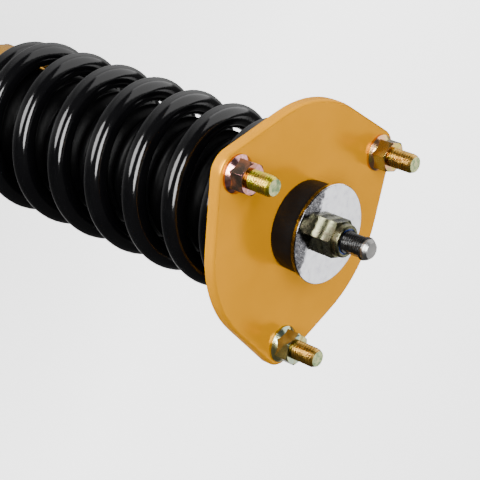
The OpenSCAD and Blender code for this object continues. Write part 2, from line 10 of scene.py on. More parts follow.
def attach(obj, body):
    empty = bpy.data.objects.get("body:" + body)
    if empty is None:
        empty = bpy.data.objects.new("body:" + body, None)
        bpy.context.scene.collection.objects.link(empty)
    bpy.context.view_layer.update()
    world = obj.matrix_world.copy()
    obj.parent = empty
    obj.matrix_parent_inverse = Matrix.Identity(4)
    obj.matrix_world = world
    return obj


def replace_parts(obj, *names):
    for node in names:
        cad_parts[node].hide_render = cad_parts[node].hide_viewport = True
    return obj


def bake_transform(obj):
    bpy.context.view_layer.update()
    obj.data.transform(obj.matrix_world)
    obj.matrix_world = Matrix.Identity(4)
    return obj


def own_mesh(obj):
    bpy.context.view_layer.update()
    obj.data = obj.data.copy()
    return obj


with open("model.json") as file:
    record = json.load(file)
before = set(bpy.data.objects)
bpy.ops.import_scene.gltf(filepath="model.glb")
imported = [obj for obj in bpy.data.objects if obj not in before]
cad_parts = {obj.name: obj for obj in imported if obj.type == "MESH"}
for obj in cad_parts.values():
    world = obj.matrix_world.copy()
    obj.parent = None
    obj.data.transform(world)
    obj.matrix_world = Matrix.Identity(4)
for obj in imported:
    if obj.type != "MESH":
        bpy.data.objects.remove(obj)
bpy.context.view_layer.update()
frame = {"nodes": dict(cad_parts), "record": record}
NODES = frame["nodes"]
MM = 0.001
TURN = 2 * math.pi

# ---------- sizes shared with the solids, in millimetres ----------
PLATE_FOOT, PLATE_TOP = 434.0, 440.0
ROD_TIP = 484.2
STEP = 0.001        # height between the two rings of vertices at a sudden change of radius

# studs: a head under the plate, a neck through it, a shank inside the nut and an M10 x 1.5 thread above it
STUD_CIRCLE_R = 63.0
STUD_ANGLES = (-90, 30, 150)
STUD_HEAD_FOOT, STUD_HEAD_R, STUD_HEAD_CHAMFER = 430.5, 8.5, 0.7
STUD_NECK_R, STUD_SHANK_R = 5.5, 4.5
STUD_THREAD_FOOT, STUD_TIP = 450.05, 463.5
STUD_PITCH, STUD_THREAD_R, STUD_THREAD_DEPTH = 1.5, 5.0, 0.72

# rod: a core inside the nut, an M12 x 1.25 thread with two spanner flats above it, and a plain tip
ROD_R, ROD_END_R = 10.0, 6.0
ROD_NUT_FOOT, ROD_THREAD_FOOT, ROD_THREAD_TOP = 457.5, 469.4, 481.2
ROD_CORE_R, ROD_THREAD_R, ROD_PITCH, ROD_THREAD_DEPTH = 5.45, 5.95, 1.25, 0.62
ROD_FLAT = 4.8

# threaded damper body
BODY_FOOT, BODY_TOP = 84.0, 290.0
BODY_R, BODY_BORE_R, BODY_PITCH, BODY_THREAD_DEPTH = 26.5, 23.0, 2.0, 0.95

# coil spring: radii and heights are those of the wire's middle, and its ends are counted in turns
WIRE_R = 6.25
COIL_R = 40.2
SPRING_START = math.radians(190.0)
SPRING_FOOT = 229.0 + WIRE_R
SPRING_HEAD = 429.2 - WIRE_R
END_DRAW, DRAWN_TURNS = 2.6, 0.4
CLOSED, TOP_CLOSED, OPEN = 1.15, 0.5, 5.66
EASE = 0.25
TURNS = CLOSED + TOP_CLOSED + 2 * EASE + OPEN
CLOSED_PITCH = 2 * WIRE_R + 0.5
OPEN_PITCH = (SPRING_HEAD - SPRING_FOOT - CLOSED_PITCH * (CLOSED + TOP_CLOSED + EASE)) / (OPEN + EASE)

# dust boot
BOOT_COLLAR_FOOT, BOOT_FOOT, BOOT_TOP = 236.0, 246.0, 416.2
BOOT_CLEARANCE = 1.4
BOOT_R = COIL_R - WIRE_R - BOOT_CLEARANCE
BOOT_ROOT_R = 28.8
BOOT_WALL = 1.7
BOOT_FOLDS = 13

# rubber bushes round their sleeve
BUSH_R, SLEEVE_R = 23.15, 9.06


# ---------- node materials ----------
MAT = {}


def material(name):
    """A new node material, kept in MAT, as its node tree and its shader."""
    m = bpy.data.materials.new(name)
    m.use_nodes = True
    MAT[name] = m
    return m.node_tree, m.node_tree.nodes["Principled BSDF"]


def coords(nt, scale=(1, 1, 1)):
    """The object's own coordinates in metres, times scale."""
    place = nt.nodes.new("ShaderNodeTexCoord")
    mapping = nt.nodes.new("ShaderNodeMapping")
    mapping.inputs["Scale"].default_value = scale
    nt.links.new(place.outputs["Object"], mapping.inputs["Vector"])
    return mapping.outputs["Vector"]


def noise(nt, vector, scale, detail=3.0, rough=0.5, distortion=0.0):
    n = nt.nodes.new("ShaderNodeTexNoise")
    n.inputs["Scale"].default_value = scale
    n.inputs["Detail"].default_value = detail
    n.inputs["Roughness"].default_value = rough
    n.inputs["Distortion"].default_value = distortion
    nt.links.new(vector, n.inputs["Vector"])
    return n.outputs["Fac"]


def ramp(nt, factor, stops):
    """A colour for each factor, from stops of (position, colour or grey)."""
    r = nt.nodes.new("ShaderNodeValToRGB")
    elements = r.color_ramp.elements
    while len(elements) < len(stops):
        elements.new(0.5)
    for e, (position, colour) in zip(elements, stops):
        e.position = position
        e.color = (colour, colour, colour, 1) if isinstance(colour, float) else (*colour, 1)
    nt.links.new(factor, r.inputs["Fac"])
    return r.outputs["Color"]


def remap(nt, value, out_low, out_high, low=0.3, high=0.7):
    """A value between low and high, turned into one between out_low and out_high."""
    r = nt.nodes.new("ShaderNodeMapRange")
    r.inputs["From Min"].default_value = low
    r.inputs["From Max"].default_value = high
    r.inputs["To Min"].default_value = out_low
    r.inputs["To Max"].default_value = out_high
    nt.links.new(value, r.inputs["Value"])
    return r.outputs["Result"]


def mixed(nt, factor, a, b):
    """The colour a where the factor is 0 and the colour b where it is 1."""
    mix = nt.nodes.new("ShaderNodeMix")
    mix.data_type = "RGBA"
    nt.links.new(factor, mix.inputs[0])
    nt.links.new(a, mix.inputs[6])
    nt.links.new(b, mix.inputs[7])
    return mix.outputs[2]


def bump(nt, bsdf, height, strength, depth):
    b = nt.nodes.new("ShaderNodeBump")
    b.inputs["Strength"].default_value = strength
    b.inputs["Distance"].default_value = depth * MM
    nt.links.new(height, b.inputs["Height"])
    nt.links.new(b.outputs["Normal"], bsdf.inputs["Normal"])


def surface(name, colour, gloss, relief, metallic=0.0, specular=0.5, brushed=(1, 1, 1)):
    """A material whose colour, roughness and relief each follow a noise of their own.

    colour is (noise, stops), gloss (noise, smoothest, roughest) and relief (noise, strength, depth in mm),
    where a noise is (scale, detail, roughness, distortion). brushed scales the coordinates of the last two.
    """
    nt, bsdf = material(name)
    grain = coords(nt, brushed)
    nt.links.new(ramp(nt, noise(nt, coords(nt), *colour[0]), colour[1]), bsdf.inputs["Base Color"])
    nt.links.new(remap(nt, noise(nt, grain, *gloss[0]), *gloss[1:]), bsdf.inputs["Roughness"])
    bump(nt, bsdf, noise(nt, grain, *relief[0]), *relief[1:])
    bsdf.inputs["Metallic"].default_value = metallic
    bsdf.inputs["Specular IOR Level"].default_value = specular


def zinc(name, stops, scale=150, gloss=(0.10, 0.20), metallic=1.0):
    """Passivated zinc, whose thin film changes its colour from place to place."""
    surface(name, ((scale, 3, 0.5, 0.6), stops), ((260, 4), *gloss), ((900, 3), 0.08, 0.1), metallic)


def rubber(name, low, high, gloss, specular=0.4):
    surface(name, ((90, 5, 0.6), [(0.3, low), (0.75, high)]), ((260, 5, 0.6), *gloss),
            ((1600, 3, 0.6), 0.2, 0.2), specular=specular)


def turned(name, low, high, smoothest, roughest, metallic=1.0):
    """Metal with fine turning marks round the Z axis."""
    nt, bsdf = material(name)
    place = nt.nodes.new("ShaderNodeTexCoord").outputs["Object"]
    flat = nt.nodes.new("ShaderNodeVectorMath")
    flat.operation = "MULTIPLY"
    flat.inputs[1].default_value = (1, 1, 0)
    nt.links.new(place, flat.inputs[0])
    radius = nt.nodes.new("ShaderNodeVectorMath")
    radius.operation = "LENGTH"
    nt.links.new(flat.outputs["Vector"], radius.inputs[0])
    axes = nt.nodes.new("ShaderNodeSeparateXYZ")
    nt.links.new(place, axes.inputs[0])
    profile = nt.nodes.new("ShaderNodeCombineXYZ")
    nt.links.new(radius.outputs["Value"], profile.inputs[0])
    nt.links.new(axes.outputs["Z"], profile.inputs[1])
    marks = noise(nt, profile.outputs[0], 1600, 4, 0.7)
    colour = ramp(nt, noise(nt, coords(nt), 70, 4), [(0.3, low), (0.7, high)])
    nt.links.new(colour, bsdf.inputs["Base Color"])
    nt.links.new(remap(nt, marks, smoothest, roughest), bsdf.inputs["Roughness"])
    bump(nt, bsdf, marks, 0.10, 0.1)
    bsdf.inputs["Metallic"].default_value = metallic


def zinc_with_painted_reflection(name):
    """Bright zinc with a dark, mottled band of painted reflection along the washer's -Y side."""
    inward = (-0.278, 1.0, 0.0)
    all_painted_dark, all_bright = -14.5 * MM, -12.3 * MM
    wander = 1.6 * MM
    nt, bsdf = material(name)
    place = coords(nt)
    spots = noise(nt, place, 260, 4, 0.6)
    bright = ramp(nt, spots, [
        (0.34, (0.66, 0.66, 0.70)), (0.52, (0.80, 0.80, 0.84)), (0.68, (0.86, 0.88, 0.88))])
    # the painted reflection's colours: dark, mottled greys
    painted_dark = ramp(nt, noise(nt, coords(nt, (1.0, 0.45, 1.0)), 900, 5, 0.75, 1.6), [
        (0.38, (0.016, 0.016, 0.018)), (0.52, (0.09, 0.09, 0.098)),
        (0.62, (0.27, 0.265, 0.275)), (0.73, (0.48, 0.46, 0.48))])
    side = nt.nodes.new("ShaderNodeVectorMath")
    side.operation = "DOT_PRODUCT"
    side.inputs[1].default_value = inward
    nt.links.new(place, side.inputs[0])
    edge = nt.nodes.new("ShaderNodeMath")
    nt.links.new(side.outputs["Value"], edge.inputs[0])
    nt.links.new(remap(nt, noise(nt, place, 300, 3), -wander, wander), edge.inputs[1])
    # the painted reflection fills the washer's -Y side and fades out towards its middle
    painted_dark_mask = remap(nt, edge.outputs[0], 1.0, 0.0, all_painted_dark, all_bright)
    nt.links.new(mixed(nt, painted_dark_mask, bright, painted_dark), bsdf.inputs["Base Color"])
    nt.links.new(remap(nt, noise(nt, place, 420, 4, 0.6), 0.08, 0.17), bsdf.inputs["Roughness"])
    bump(nt, bsdf, spots, 0.12, 0.1)
    bsdf.inputs["Metallic"].default_value = 1.0


# paint and anodising
surface("black_gloss", ((60, 4), [(0.35, (0.0008, 0.0008, 0.0010)), (0.7, (0.0014, 0.0014, 0.0016))]),
        ((90, 5, 0.6), 0.09, 0.15), ((700, 2), 0.08, 0.2), specular=0.32)
surface("black_satin", ((70, 4), [(0.3, (0.0035, 0.0035, 0.0040)), (0.75, (0.0070, 0.0070, 0.0075))]),
        ((120, 5, 0.6), 0.18, 0.28), ((1100, 3), 0.16, 0.2), specular=0.32)
surface("gold_paint", ((26, 4, 0.55), [(0.3, (0.46, 0.190, 0.0)), (0.72, (0.51, 0.213, 0.002))]),
        ((170, 4, 0.6), 0.18, 0.26), ((1400, 3, 0.6), 0.06, 0.2), metallic=0.35, specular=0.0)
surface("gold_anodised", ((40, 4), [(0.3, (0.46, 0.21, 0.006)), (0.72, (0.54, 0.26, 0.012))]),
        ((90, 3), 0.22, 0.36), ((160, 2), 0.10, 0.1), metallic=0.85, brushed=(1, 1, 40))

# passivated zinc: nuts, then darker copies for the nuts' facets, which are painted shade, then the rod's nut,
# the studs and the studs' tips
zinc("yellow_zinc", [
    (0.32, (0.44, 0.24, 0.05)), (0.46, (0.62, 0.48, 0.10)),
    (0.58, (0.64, 0.32, 0.18)), (0.72, (0.40, 0.40, 0.10))])
zinc("pink_zinc", [
    (0.32, (0.22, 0.11, 0.08)), (0.44, (0.62, 0.30, 0.32)),
    (0.56, (0.44, 0.18, 0.12)), (0.70, (0.60, 0.40, 0.38))])
zinc("olive_zinc", [
    (0.32, (0.28, 0.20, 0.04)), (0.46, (0.58, 0.56, 0.24)),
    (0.58, (0.34, 0.44, 0.34)), (0.72, (0.42, 0.34, 0.10))])
# the nuts' facets: darker copies of their zinc, painted shade
zinc("brown_facets", [
    (0.34, (0.060, 0.046, 0.036)), (0.52, (0.12, 0.082, 0.060)), (0.66, (0.32, 0.13, 0.07))],
     110, metallic=0.9)
zinc("amber_facets", [
    (0.34, (0.14, 0.11, 0.030)), (0.50, (0.20, 0.12, 0.035)), (0.66, (0.31, 0.27, 0.07))],
     110, metallic=0.8)
zinc("olive_facets", [
    (0.34, (0.17, 0.13, 0.035)), (0.52, (0.27, 0.21, 0.06)), (0.68, (0.38, 0.34, 0.12))],
     110, metallic=0.8)
zinc("grey_zinc", [
    (0.32, (0.045, 0.045, 0.027)), (0.46, (0.125, 0.125, 0.070)),
    (0.58, (0.10, 0.085, 0.052)), (0.72, (0.155, 0.17, 0.095))],
     170, (0.24, 0.34))
zinc("copper_zinc", [
    (0.32, (0.33, 0.17, 0.030)), (0.48, (0.46, 0.27, 0.05)),
    (0.60, (0.30, 0.17, 0.04)), (0.74, (0.38, 0.31, 0.04))],
     gloss=(0.22, 0.32))
zinc("lemon_zinc", [
    (0.32, (0.27, 0.28, 0.02)), (0.46, (0.52, 0.42, 0.03)),
    (0.58, (0.46, 0.28, 0.05)), (0.72, (0.36, 0.38, 0.04))],
     gloss=(0.22, 0.32))
zinc("tip_zinc", [
    (0.34, (0.16, 0.24, 0.12)), (0.50, (0.40, 0.46, 0.22)), (0.66, (0.58, 0.56, 0.28))],
     420, (0.20, 0.34))
# the washer's zinc, with a painted reflection on its -Y side
zinc_with_painted_reflection("bright_zinc")

# turned metal
turned("plain_steel", (0.46, 0.47, 0.48), (0.60, 0.60, 0.61), 0.22, 0.40)
turned("dark_steel", (0.020, 0.020, 0.022), (0.045, 0.045, 0.048), 0.22, 0.38, 0.6)
turned("hard_chrome", (0.56, 0.57, 0.59), (0.64, 0.65, 0.66), 0.05, 0.12)
turned("rod_tip", (0.20, 0.195, 0.19), (0.32, 0.31, 0.30), 0.24, 0.40)
turned("rod_end", (0.036, 0.036, 0.036), (0.095, 0.095, 0.093), 0.22, 0.36)
turned("bare_aluminium", (0.66, 0.67, 0.69), (0.78, 0.78, 0.80), 0.24, 0.42)
turned("sintered_piston", (0.30, 0.27, 0.21), (0.46, 0.42, 0.33), 0.4, 0.6)

# rubber, plastic and foam
rubber("black_rubber", (0.0022, 0.0024, 0.0028), (0.0044, 0.0048, 0.0054), (0.40, 0.58), 0.08)
rubber("boot_rubber", (0.0008, 0.0008, 0.0009), (0.0016, 0.0016, 0.0017), (0.30, 0.42), 0.05)
rubber("dark_plastic", (0.03, 0.026, 0.024), (0.06, 0.05, 0.045), (0.4, 0.55))
surface("foam_stop", ((180, 5, 0.7), [(0.3, (0.42, 0.30, 0.12)), (0.75, (0.60, 0.46, 0.22))]),
        ((300, 4), 0.6, 0.8), ((1800, 3, 0.7), 0.4, 0.3))
surface("blue_nylon", ((200, 4), [(0.3, (0.010, 0.020, 0.10)), (0.75, (0.020, 0.040, 0.17))]),
        ((300, 4), 0.3, 0.45), ((900, 2), 0.1, 0.1))

# the solids themselves, some of which the pieces below stand for
for sub in frame["record"]["subparts"]:
    data = NODES[sub["node"]].data
    data.materials.clear()
    data.materials.append(MAT[sub["material_slot"]])


# ---------- mesh helpers, which take millimetres ----------
def shade(mesh, sharp):
    """Smooth faces, with hard edges where they meet at more than sharp degrees."""
    for p in mesh.polygons:
        p.use_smooth = True
    mesh.set_sharp_from_angle(angle=math.radians(sharp))


def add_object(name, mesh, mat, body, sharp):
    """A piece that rides on a body, or on none where no body is given."""
    shade(mesh, sharp)
    mesh.materials.clear()
    mesh.materials.append(MAT[mat])
    o = bpy.data.objects.new(name, mesh)
    bpy.context.scene.collection.objects.link(o)
    if body:
        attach(o, body)
    return o


def paint_top(piece, mat, height):
    """Gives the faces above a height another material."""
    piece.data.materials.append(MAT[mat])
    for p in piece.data.polygons:
        if p.center.z > height * MM:
            p.material_index = 1


def mesh_from(name, verts, faces, merge=True):
    """A mesh with its normals outward, and with vertices in one place joined if merge is set."""
    same_point = 1e-6
    mesh = bpy.data.meshes.new(name)
    mesh.from_pydata([tuple(c * MM for c in v) for v in verts], [], faces)
    bm = bmesh.new()
    bm.from_mesh(mesh)
    if merge:
        bmesh.ops.remove_doubles(bm, verts=bm.verts, dist=same_point)
    bmesh.ops.recalc_face_normals(bm, faces=bm.faces)
    bm.to_mesh(mesh)
    bm.free()
    return mesh


def rounded(profile, radius, arc_steps=3, closed=True):
    """The profile's corners turned in short arcs. A point's third value is its own radius."""
    most = 0.45         # of the way to the next corner
    out = []
    count = len(profile)
    for i, corner in enumerate(profile):
        p = Vector(corner[:2])
        own = corner[2] if len(corner) > 2 else radius
        before, after = Vector(profile[i - 1][:2]) - p, Vector(profile[(i + 1) % count][:2]) - p
        is_end = not closed and i in (0, count - 1)
        if is_end or own <= 0:
            out.append(tuple(p))
            continue
        cut = min(own, before.length * most, after.length * most)
        start, end = p + before.normalized() * cut, p + after.normalized() * cut
        for k in range(arc_steps + 1):
            t = k / arc_steps
            out.append(tuple(start * (1 - t) ** 2 + p * 2 * t * (1 - t) + end * t ** 2))
    return out


def lathe(name, profile, segments=96, closed=True):
    """Turns a profile of (r, z) about the Z axis."""
    n = len(profile)
    verts = []
    for i in range(segments):
        c, s = math.cos(TURN * i / segments), math.sin(TURN * i / segments)
        verts += [(r * c, r * s, z) for r, z in profile]
    faces = []
    for i in range(segments):
        here, there = i * n, (i + 1) % segments * n
        for k in range(n if closed else n - 1):
            m = (k + 1) % n
            faces.append((here + k, there + k, there + m, here + m))
    return mesh_from(name, verts, faces)


def bands(rings, sides, first=0, closed=False):
    """Quads between neighbouring rings of vertices, and from the last to the first if closed."""
    faces = []
    for j in range(rings if closed else rings - 1):
        here, there = first + j * sides, first + (j + 1) % rings * sides
        for i in range(sides):
            k = (i + 1) % sides
            faces.append((here + i, here + k, there + k, there + i))
    return faces


def screw(name, rows, radius, segments, center=(0, 0), bore=None):
    """An upright solid whose radius is a function of (angle, z), with flat ends or a bore through it."""
    angles = [TURN * i / segments for i in range(segments)]
    rings = [[(radius(a, z), a, z) for a in angles] for z in rows]
    if bore:
        rings += [[(bore, a, z) for a in angles] for z in (rows[-1], rows[0])]
    x, y = center
    verts = [(x + r * math.cos(a), y + r * math.sin(a), z) for ring in rings for r, a, z in ring]
    faces = bands(len(rings), segments, closed=bool(bore))
    if not bore:
        faces.append(tuple(range(segments - 1, -1, -1)))
        faces.append(tuple(range(len(verts) - segments, len(verts))))
    return mesh_from(name, verts, faces)


def thread_cut(a, z, pitch):
    """Depth of a right-hand thread at (angle, z), from 0 on the crest to 1 in the root."""
    crest, flank = 0.16, 0.66
    from_crest = abs((z / pitch - a / TURN) % 1.0 - 0.5) * 2
    return min(1.0, max(0.0, (from_crest - crest) / flank))


def levels(a, b, size):
    """Even steps from a to b, none larger than size."""
    n = max(1, int(math.ceil((b - a) / size)))
    return [a + (b - a) * i / n for i in range(n + 1)]


def dressed(node, body, width, angle, mat):
    """The node's own shape, with the edges that turn by more than angle degrees rounded."""
    same_point, flat = 3e-6, math.radians(0.6)
    bm = bmesh.new()
    bm.from_mesh(NODES[node].data)
    bmesh.ops.remove_doubles(bm, verts=bm.verts, dist=same_point)
    bmesh.ops.dissolve_limit(bm, angle_limit=flat, verts=bm.verts[:], edges=bm.edges[:])
    hard = [e for e in bm.edges if e.is_manifold and e.calc_face_angle(0) > math.radians(angle)]
    bmesh.ops.bevel(bm, geom=hard, offset=width * MM, offset_type="OFFSET", segments=3, profile=0.5,
                    affect="EDGES", clamp_overlap=True, miter_outer="ARC")
    bmesh.ops.recalc_face_normals(bm, faces=bm.faces)
    mesh = bpy.data.meshes.new(node + "_dressed")
    bm.to_mesh(mesh)
    bm.free()
    o = add_object(node + "_dressed", mesh, mat, body, sharp=50.0)
    even = o.modifiers.new("even_faces", "WEIGHTED_NORMAL")
    even.keep_sharp = True
    even.weight = 90
    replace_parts(o, node)
    return o


def groove(mesh, z, width, depth, outside):
    """Cuts a narrow groove round an upright prism at height z, where it lies further out than outside."""
    bm = bmesh.new()
    bm.from_mesh(mesh)
    for level in (z - 0.5 * width, z - 0.3 * width, z + 0.3 * width, z + 0.5 * width):
        bmesh.ops.bisect_plane(bm, geom=bm.verts[:] + bm.edges[:] + bm.faces[:], dist=1e-7,
                               plane_co=(0, 0, level * MM), plane_no=(0, 0, 1))
    for v in bm.verts:
        r = v.co.xy.length
        if abs(v.co.z - z * MM) < 0.4 * width * MM and r > outside * MM:
            v.co.xy *= (r - depth * MM) / r
    bm.to_mesh(mesh)
    bm.free()
    shade(mesh, 50.0)


# ---------- coil spring ----------
def climb(turns, closed):
    """How far the wire's middle climbs in some turns from an end with closed coils."""
    shut = min(turns, closed)
    easing = max(0.0, min(turns - closed, EASE))
    free = max(0.0, turns - closed - EASE)
    opening = (OPEN_PITCH - CLOSED_PITCH) * easing * easing / (2 * EASE)
    return CLOSED_PITCH * (shut + easing) + opening + OPEN_PITCH * free


def spring_point(t):
    """The wire's middle after t turns."""
    z = SPRING_FOOT + climb(t, CLOSED) if t < TURNS / 2 else SPRING_HEAD - climb(TURNS - t, TOP_CLOSED)
    a = SPRING_START + TURN * t
    u = min(1.0, max(0.0, (t - DRAWN_TURNS) / (CLOSED - DRAWN_TURNS)))
    r = COIL_R - END_DRAW * (1 - u * u * (3 - 2 * u))
    return Vector((r * math.cos(a), r * math.sin(a), z))


def spring():
    """The wire with rounded ends. The open coils share the height that the closed ones at either end leave.
    """
    per_turn, sides = 64, 32
    dt = 0.002
    n = int(round(TURNS * per_turn))
    one_mm = 1.0 / (TURN * COIL_R)
    foot = [(0.0, 0.82), (0.25 * one_mm, 0.93), (one_mm, 1.0)]
    head = [(TURNS - t, k) for t, k in reversed(foot)]
    stations = foot + [(TURNS * i / n, 1.0) for i in range(1, n)] + head
    verts, share = [], []
    for t, k in stations:
        middle = spring_point(t)
        along = (spring_point(t + dt) - spring_point(t - dt)).normalized()
        a = SPRING_START + TURN * t
        out = Vector((math.cos(a), math.sin(a), 0))
        up = along.cross(out)
        for i in range(sides):
            s = TURN * i / sides
            verts.append(middle + WIRE_R * k * (math.cos(s) * out - math.sin(s) * up))
        share += [min(1.0, max(0.0, (t - CLOSED) / (TURNS - CLOSED - TOP_CLOSED)))] * sides
    faces = bands(len(stations), sides)
    faces.append(tuple(range(sides)))
    faces.append(tuple(range(len(verts) - 1, len(verts) - sides - 1, -1)))
    mesh = mesh_from("spring_coils", verts, faces, merge=False)
    coils = add_object("spring_coils", mesh, "black_gloss", None, sharp=60.0)
    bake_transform(coils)
    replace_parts(coils, "coil_spring")


spring()


# ---------- dust boot ----------
def boot_profile():
    per_fold = 14
    flange_foot = BOOT_TOP - 2.5
    fold_h = (flange_foot - BOOT_FOOT) / BOOT_FOLDS
    outer = []
    for i in range(BOOT_FOLDS * per_fold + 1):
        f = i / per_fold
        wave = 0.5 - 0.5 * math.cos(TURN * f)
        outer.append((BOOT_ROOT_R + (BOOT_R - BOOT_ROOT_R) * wave ** 0.75, BOOT_FOOT + fold_h * f))
    inner = [(r - BOOT_WALL, z) for r, z in reversed(outer)]
    low, neck = BOOT_COLLAR_FOOT, BOOT_FOOT - 0.6
    collar = [(26.8, low), (27.0, low - 0.1), (28.8, low - 0.1), (29.2, low + 0.4), (29.2, low + 2.2),
              (28.9, low + 2.8), (28.9, neck)]
    flange = [(28.8, flange_foot + 0.2), (30.5, flange_foot + 0.2), (30.8, flange_foot + 0.6),
              (30.8, BOOT_TOP - 0.3), (30.5, BOOT_TOP), (19.3, BOOT_TOP), (19.3, flange_foot)]
    return collar + outer + flange + inner + [(26.8, neck)]


def dust_boot():
    mesh = lathe("dust_boot_folds", boot_profile())
    boot = add_object("dust_boot_folds", mesh, "boot_rubber", "rod_and_top", sharp=60.0)
    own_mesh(boot)
    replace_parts(boot, "dust_boot")


dust_boot()


# ---------- rubber bushes, isolator, bump stop ----------
def barrel(foot, top):
    """The bush's side, 0.25 mm fuller at half height."""
    bulge, n = 0.25, 8
    return [(BUSH_R - bulge * (2 * i / n - 1) ** 2, foot + (top - foot) * i / n) for i in range(n + 1)]


def upper_bush():
    """A disc on the plate, with a neck down through the plate's hole."""
    foot, top, neck_r = 440.25, 454.9, 14.0
    return ([(SLEEVE_R, PLATE_FOOT), (neck_r, PLATE_FOOT), (neck_r, PLATE_TOP), (BUSH_R - 0.9, PLATE_TOP)]
            + [(BUSH_R - 0.5, foot)] + barrel(foot + 0.65, top - 0.5)
            + [(BUSH_R - 0.5, top), (BUSH_R - 0.9, top + 0.2), (SLEEVE_R, top + 0.2)])


def lower_bush():
    foot, top = 418.9, PLATE_FOOT
    return ([(SLEEVE_R, foot), (BUSH_R - 1.0, foot), (BUSH_R - 0.5, foot + 0.3)]
            + barrel(foot + 1.0, top - 0.9)
            + [(BUSH_R - 0.5, top - 0.3), (BUSH_R - 1.0, top), (SLEEVE_R, top)])


def isolator():
    foot, top, inner, outer = 429.5, 432.0, 33.5, 45.4
    return rounded([(inner, foot), (outer, foot, 0.9), (outer, top, 0.5), (inner, top)], 0.3)


def bump_stop():
    """Three lobes with waists between them, the lowest one tapering towards the rod."""
    foot, top, bore = 374.5, 416.5, 10.3
    return rounded([
        (bore, foot, 0.4), (13.0, foot, 0.8), (15.0, 377.0, 2.0), (16.7, 381.5, 3.0), (14.6, 388.5, 2.0),
        (18.9, 395.5, 4.0), (15.6, 402.3, 2.0), (19.0, 406.8, 2.0), (19.0, 414.5, 2.0), (17.2, top, 0.6),
        (bore, top)], 0.3, 5)


def soft_ring(name, profile, mat, node, segments=96, sharp=50.0):
    """A turned piece of the top mount, which stands for a node."""
    piece = add_object(name, lathe(name, profile, segments), mat, "rod_and_top", sharp)
    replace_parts(piece, node)


soft_ring("upper_bush_rubber", upper_bush(), "black_rubber", "upper_bush", segments=128)
soft_ring("lower_bush_rubber", lower_bush(), "black_rubber", "lower_bush")
soft_ring("isolator_ring", isolator(), "black_rubber", "spring_isolator")
soft_ring("bump_stop_foam", bump_stop(), "foam_stop", "bump_stop", segments=80, sharp=60.0)


# ---------- studs with rolled threads ----------
def stud_radius(a, z):
    tip_r, tip_slope = 4.1, 0.45
    if z < PLATE_FOOT - STEP:
        return STUD_HEAD_R - max(0.0, STUD_HEAD_CHAMFER - (z - STUD_HEAD_FOOT))
    if z <= PLATE_TOP:
        return STUD_NECK_R
    if z <= STUD_THREAD_FOOT:
        return STUD_SHANK_R
    thread = STUD_THREAD_R - STUD_THREAD_DEPTH * thread_cut(a, z, STUD_PITCH)
    return min(thread, tip_r + tip_slope * (STUD_TIP - z))


def studs():
    rows = [STUD_HEAD_FOOT + h for h in (0.1, 0.5, 0.9)]
    rows += [PLATE_FOOT - 2 * STEP, PLATE_FOOT, PLATE_TOP, PLATE_TOP + STEP]
    rows += [STUD_THREAD_FOOT, STUD_THREAD_FOOT + STEP]
    rows += levels(STUD_THREAD_FOOT + 0.05, STUD_TIP, STUD_PITCH / 12)
    for i, mat in enumerate(("lemon_zinc", "copper_zinc", "copper_zinc")):
        a = math.radians(STUD_ANGLES[i])
        center = (STUD_CIRCLE_R * math.cos(a), STUD_CIRCLE_R * math.sin(a))
        name = "stud_%d" % (i + 1)
        mesh = screw(name, rows, stud_radius, 48, center)
        stud = add_object(name, mesh, mat, "rod_and_top", sharp=38.0)
        paint_top(stud, "tip_zinc", STUD_TIP - 0.05)
        if i == 0:
            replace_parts(stud, "stud_bolts")


studs()


# ---------- piston rod with its threaded end ----------
def rod_end_radius(a, z):
    plain_r, tip_r, tip_slope = 5.35, 4.0, 0.75
    if z < ROD_NUT_FOOT:
        return ROD_END_R
    if z < ROD_THREAD_FOOT:
        return ROD_CORE_R
    if z >= ROD_THREAD_TOP:
        return min(plain_r, tip_r + tip_slope * (ROD_TIP - z))
    r = ROD_THREAD_R - ROD_THREAD_DEPTH * thread_cut(a, z, ROD_PITCH)
    if ROD_THREAD_FOOT + 1.0 < z < ROD_THREAD_TOP - 1.0:
        r = min(r, ROD_FLAT / max(abs(math.cos(a)), 1e-6))
    return r


def piston_rod():
    """The threaded end, which stands for the rod, and the chromed shaft below it."""
    foot, neck_foot, shaft_foot, shaft_top = 237.0, 246.0, 260.0, 416.5
    thread_r = 5.5
    rows = [shaft_top, ROD_NUT_FOOT - STEP, ROD_NUT_FOOT, ROD_THREAD_FOOT - STEP, ROD_THREAD_FOOT]
    rows += levels(ROD_THREAD_FOOT + 0.01, ROD_THREAD_TOP - 0.01, ROD_PITCH / 12)
    rows += levels(ROD_THREAD_TOP, ROD_TIP, 0.3)
    mesh = screw("rod_threaded_end", rows, rod_end_radius, 72)
    end = add_object("rod_threaded_end", mesh, "rod_end", "rod_and_top", sharp=35.0)
    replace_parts(end, "piston_rod")
    paint_top(end, "rod_tip", ROD_THREAD_TOP)
    profile = rounded([
        (0.0, foot, 0), (thread_r - 0.5, foot, 0.5), (thread_r, foot + 1.0, 0.3), (thread_r, neck_foot, 0),
        (ROD_END_R, neck_foot, 0), (ROD_END_R, shaft_foot, 0), (ROD_R, shaft_foot, 0.5),
        (ROD_R, shaft_top, 0.4), (0.0, shaft_top, 0)],
        0.3, closed=False)
    mesh = lathe("rod_shaft", profile, closed=False)
    add_object("rod_shaft", mesh, "hard_chrome", "rod_and_top", sharp=40.0)


piston_rod()


# ---------- threaded damper body ----------
def body_radius(a, z):
    chamfer, slope = 0.9, 0.9
    thread = BODY_R - BODY_THREAD_DEPTH * thread_cut(a, z, BODY_PITCH)
    return min(thread, BODY_R - chamfer + slope * min(z - BODY_FOOT, BODY_TOP - z))


def damper_body():
    rows = [BODY_FOOT, BODY_FOOT + 0.8] + levels(BODY_FOOT + 1.0, BODY_TOP - 1.0, BODY_PITCH / 8)
    rows += [BODY_TOP - 0.8, BODY_TOP]
    mesh = screw("body_thread", rows, body_radius, 96, bore=BODY_BORE_R)
    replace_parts(add_object("body_thread", mesh, "dark_steel", "damper_body", sharp=38.0), "threaded_body")


damper_body()


